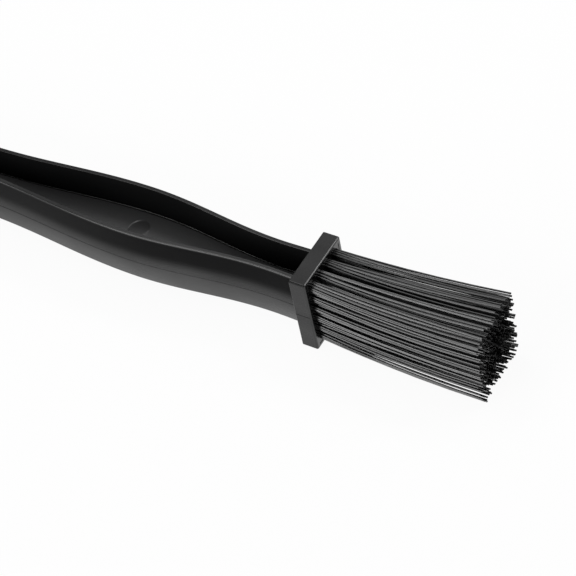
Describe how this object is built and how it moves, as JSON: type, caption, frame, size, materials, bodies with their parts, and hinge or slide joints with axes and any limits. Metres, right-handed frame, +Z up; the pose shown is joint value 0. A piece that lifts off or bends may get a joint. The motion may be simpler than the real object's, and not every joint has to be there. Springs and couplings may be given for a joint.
{
  "type": "chain cleaning brush",
  "caption": "Double-ended chain cleaning brush: an I-section plastic handle with a long straight bristle bundle in a collar and a bristled fork that straddles a chain.",
  "frame": {"origin": "on the surface that the brush lies on, under the middle of its bounding box", "axes": "+X along the handle towards the long bristles, +Z up out of the handle's upper channel"},
  "size_m": [0.2712, 0.0464, 0.0254],
  "materials": {
    "handle": "fine satin moulded texture",
    "tuft_plate": "matte",
    "long_bristle": "satin extruded nylon",
    "short_bristle": "satin extruded nylon"
  },
  "bodies": {
    "root": {"handle_moulding": "handle", "long_tuft_plate": "tuft_plate", "left_arm_tuft_plate": "tuft_plate", "right_arm_tuft_plate": "tuft_plate", "fork_base_tuft_plate": "tuft_plate", "long_tuft_row1_col1": "long_bristle", "long_tuft_row1_col2": "long_bristle", "long_tuft_row1_col3": "long_bristle", "long_tuft_row1_col4": "long_bristle", "long_tuft_row2_col1": "long_bristle", "long_tuft_row2_col2": "long_bristle", "long_tuft_row2_col3": "long_bristle", "long_tuft_row2_col4": "long_bristle", "long_tuft_row3_col1": "long_bristle", "long_tuft_row3_col2": "long_bristle", "long_tuft_row3_col3": "long_bristle", "long_tuft_row3_col4": "long_bristle", "long_tuft_row4_col1": "long_bristle", "long_tuft_row4_col2": "long_bristle", "long_tuft_row4_col3": "long_bristle", "long_tuft_row4_col4": "long_bristle", "long_tuft_row5_col1": "long_bristle", "long_tuft_row5_col2": "long_bristle", "long_tuft_row5_col3": "long_bristle", "long_tuft_row5_col4": "long_bristle", "long_tuft_row6_col1": "long_bristle", "long_tuft_row6_col2": "long_bristle", "long_tuft_row6_col3": "long_bristle", "long_tuft_row6_col4": "long_bristle", "left_arm_tuft_row1_col1": "short_bristle", "left_arm_tuft_row1_col2": "short_bristle", "left_arm_tuft_row1_col3": "short_bristle", "left_arm_tuft_row1_col4": "short_bristle", "left_arm_tuft_row2_col1": "short_bristle", "left_arm_tuft_row2_col2": "short_bristle", "left_arm_tuft_row2_col3": "short_bristle", "left_arm_tuft_row2_col4": "short_bristle", "left_arm_tuft_row3_col1": "short_bristle", "left_arm_tuft_row3_col2": "short_bristle", "left_arm_tuft_row3_col3": "short_bristle", "left_arm_tuft_row3_col4": "short_bristle", "right_arm_tuft_row1_col1": "short_bristle", "right_arm_tuft_row1_col2": "short_bristle", "right_arm_tuft_row1_col3": "short_bristle", "right_arm_tuft_row1_col4": "short_bristle", "right_arm_tuft_row2_col1": "short_bristle", "right_arm_tuft_row2_col2": "short_bristle", "right_arm_tuft_row2_col3": "short_bristle", "right_arm_tuft_row2_col4": "short_bristle", "right_arm_tuft_row3_col1": "short_bristle", "right_arm_tuft_row3_col2": "short_bristle", "right_arm_tuft_row3_col3": "short_bristle", "right_arm_tuft_row3_col4": "short_bristle", "fork_base_tuft_row1_col1": "short_bristle", "fork_base_tuft_row1_col2": "short_bristle", "fork_base_tuft_row2_col1": "short_bristle", "fork_base_tuft_row2_col2": "short_bristle", "fork_base_tuft_row3_col1": "short_bristle", "fork_base_tuft_row3_col2": "short_bristle"}
  },
  "joints": []
}
